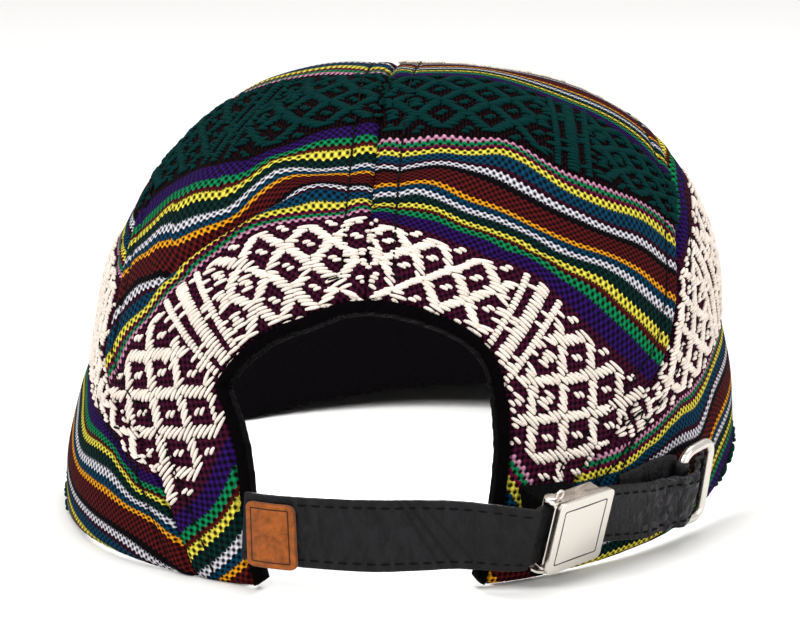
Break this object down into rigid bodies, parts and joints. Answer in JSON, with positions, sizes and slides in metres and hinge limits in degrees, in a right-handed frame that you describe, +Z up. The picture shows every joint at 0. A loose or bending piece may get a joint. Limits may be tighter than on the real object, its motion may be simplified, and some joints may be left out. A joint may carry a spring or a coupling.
{
  "type": "five-panel cap",
  "caption": "Five-panel cap in striped woven cloth with a flat peak, a rounded back opening and a leather strap closed by a lever clasp.",
  "frame": {"origin": "centre of the bounding box's footprint, on the surface that the cap lies on", "axes": "+Y towards the peak, +Z up, +X to the side that carries the clasp"},
  "size_m": [0.1788, 0.2598, 0.1156],
  "materials": {
    "cloth": "matte woven cotton with coloured stripes",
    "black_cloth": "matte twill",
    "leather": "soft satin",
    "tan_leather": "matte grained",
    "nickel": "polished"
  },
  "bodies": {
    "cap": {"top_panel_right": "cloth", "side_panel_right": "cloth", "top_panel_left": "cloth", "side_panel_left": "cloth", "front_panel": "cloth", "lining": "black_cloth", "sweatband": "black_cloth", "opening_binding": "black_cloth", "peak": "black_cloth", "strap": "leather", "leather_tab": "tan_leather", "clasp_tray": "nickel", "clasp_pin": "nickel", "clasp_anchor": "leather", "keeper_ring": "nickel", "keeper_tab": "leather"},
    "lever": {"clasp_lever": "nickel"}
  },
  "joints": [
    {"name": "lever_hinge", "type": "hinge", "parent": "cap", "child": "lever", "pos_m": [0.04286, -0.11845, 0.01389], "axis": [-0.1958, 0.2218, -0.9552], "range_deg": [0, 85]}
  ]
}
